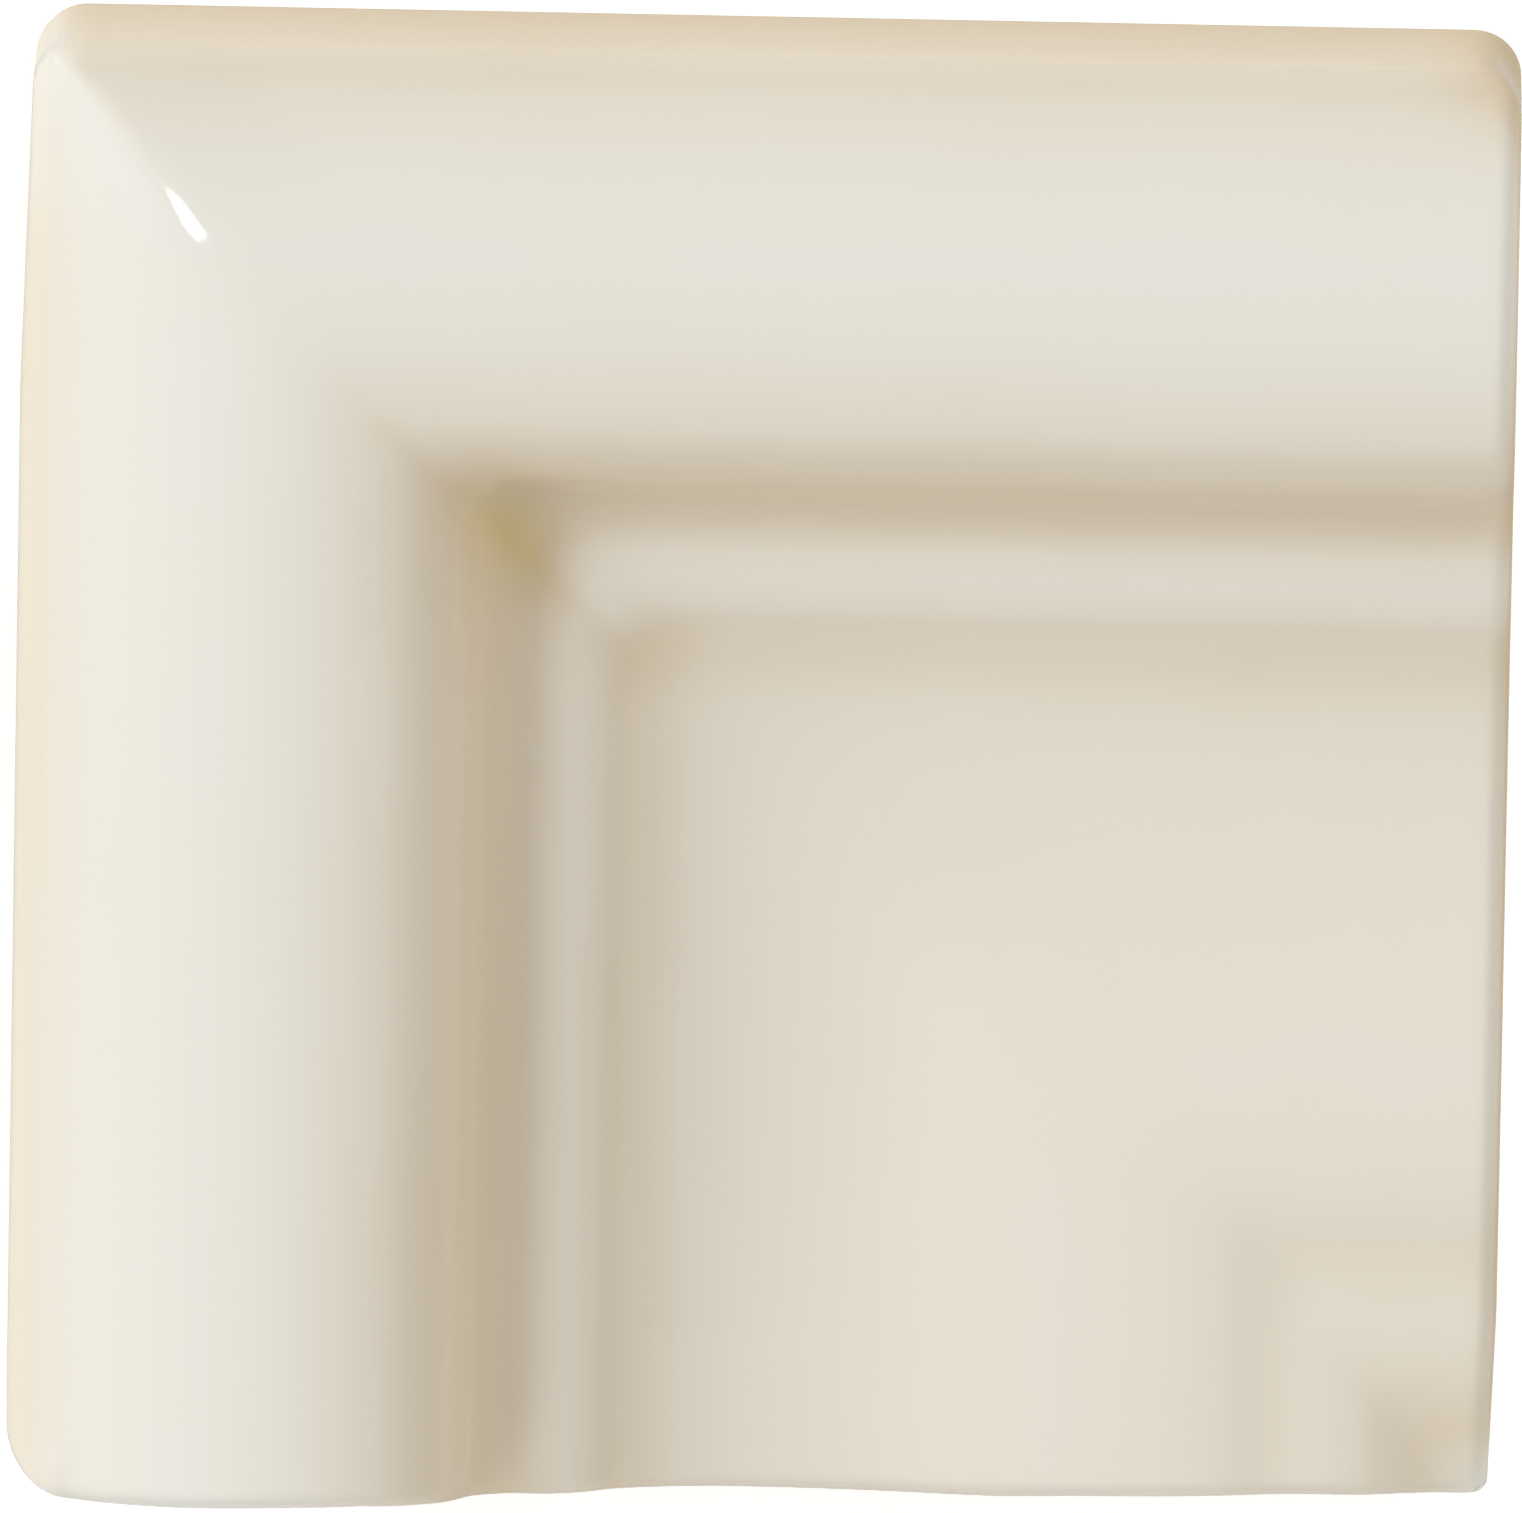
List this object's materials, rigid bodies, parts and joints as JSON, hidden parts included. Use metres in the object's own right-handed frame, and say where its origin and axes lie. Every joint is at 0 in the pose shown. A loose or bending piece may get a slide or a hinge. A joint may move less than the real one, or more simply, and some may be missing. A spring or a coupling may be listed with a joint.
{
  "type": "corner moulding tile",
  "caption": "Glazed ceramic corner moulding tile, square in plan: a torus, bead and hollow panel meet in a mitre and turn a moulded border round an outside corner of tiling.",
  "frame": {"origin": "centre of the square plan, on the back face", "axes": "+Z out of the glazed front; the moulded outer sides face -X and +Y, the butting ends face +X and -Y"},
  "size_m": [0.075, 0.075, 0.014],
  "materials": {
    "glaze": "glossy cream glaze, pooled a little darker in the quirks; bare biscuit back"
  },
  "bodies": {
    "root": {"corner_moulding_tile": "glaze"}
  },
  "joints": []
}
